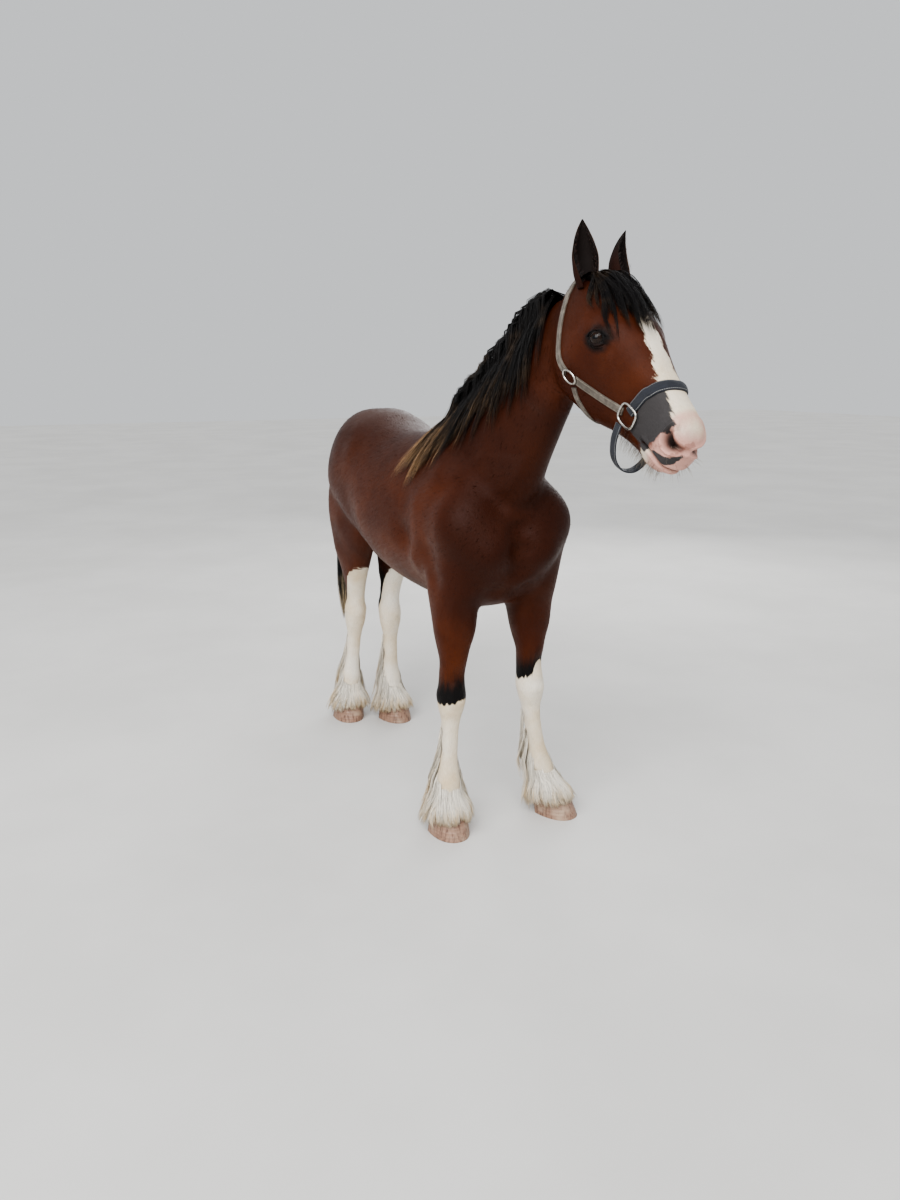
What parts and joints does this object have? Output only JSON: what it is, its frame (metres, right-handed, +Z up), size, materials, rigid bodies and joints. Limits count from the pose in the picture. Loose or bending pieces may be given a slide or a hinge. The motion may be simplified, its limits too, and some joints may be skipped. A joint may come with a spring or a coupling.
{
  "type": "draught horse, standing",
  "caption": "Life-size still model of a young bay draught horse with a white blaze and feathered legs, standing square and wearing a headcollar.",
  "frame": {"origin": "on the floor under the middle of the model's box", "axes": "+Z up, the horse faces -Y, its own left side is +X"},
  "size_m": [0.6725, 2.4165, 2.1335],
  "materials": {
    "bay_coat": "short glossy bay hair, black at the points, with a white face",
    "white_coat": "white stocking hair and long cream feather",
    "tail_hair": "long black tail hair with pale ends",
    "horn": "pale striped hoof horn",
    "eye": "dark wet eye",
    "strap": "worn grey-brown leather",
    "padding": "dark navy padded webbing",
    "ring_metal": "plated rings"
  },
  "bodies": {
    "root": {"torso": "bay_coat", "neck": "bay_coat", "head": "bay_coat", "tail": "tail_hair", "foreleg_right_upper": "bay_coat", "foreleg_right_lower": "white_coat", "foreleg_right_hoof": "horn", "foreleg_left_upper": "bay_coat", "foreleg_left_lower": "white_coat", "foreleg_left_hoof": "horn", "hindleg_right_upper": "bay_coat", "hindleg_right_lower": "white_coat", "hindleg_right_hoof": "horn", "hindleg_left_upper": "bay_coat", "hindleg_left_lower": "white_coat", "hindleg_left_hoof": "horn", "ear_right": "bay_coat", "ear_left": "bay_coat", "eye_right": "eye", "eye_left": "eye", "crown_strap": "strap", "noseband": "padding", "throat_strap": "strap", "cheek_strap_left": "strap", "cheek_strap_right": "strap", "chin_strap": "padding", "ring_upper_left": "ring_metal", "ring_upper_right": "ring_metal", "ring_lower_left": "ring_metal", "ring_lower_right": "ring_metal"}
  },
  "joints": []
}
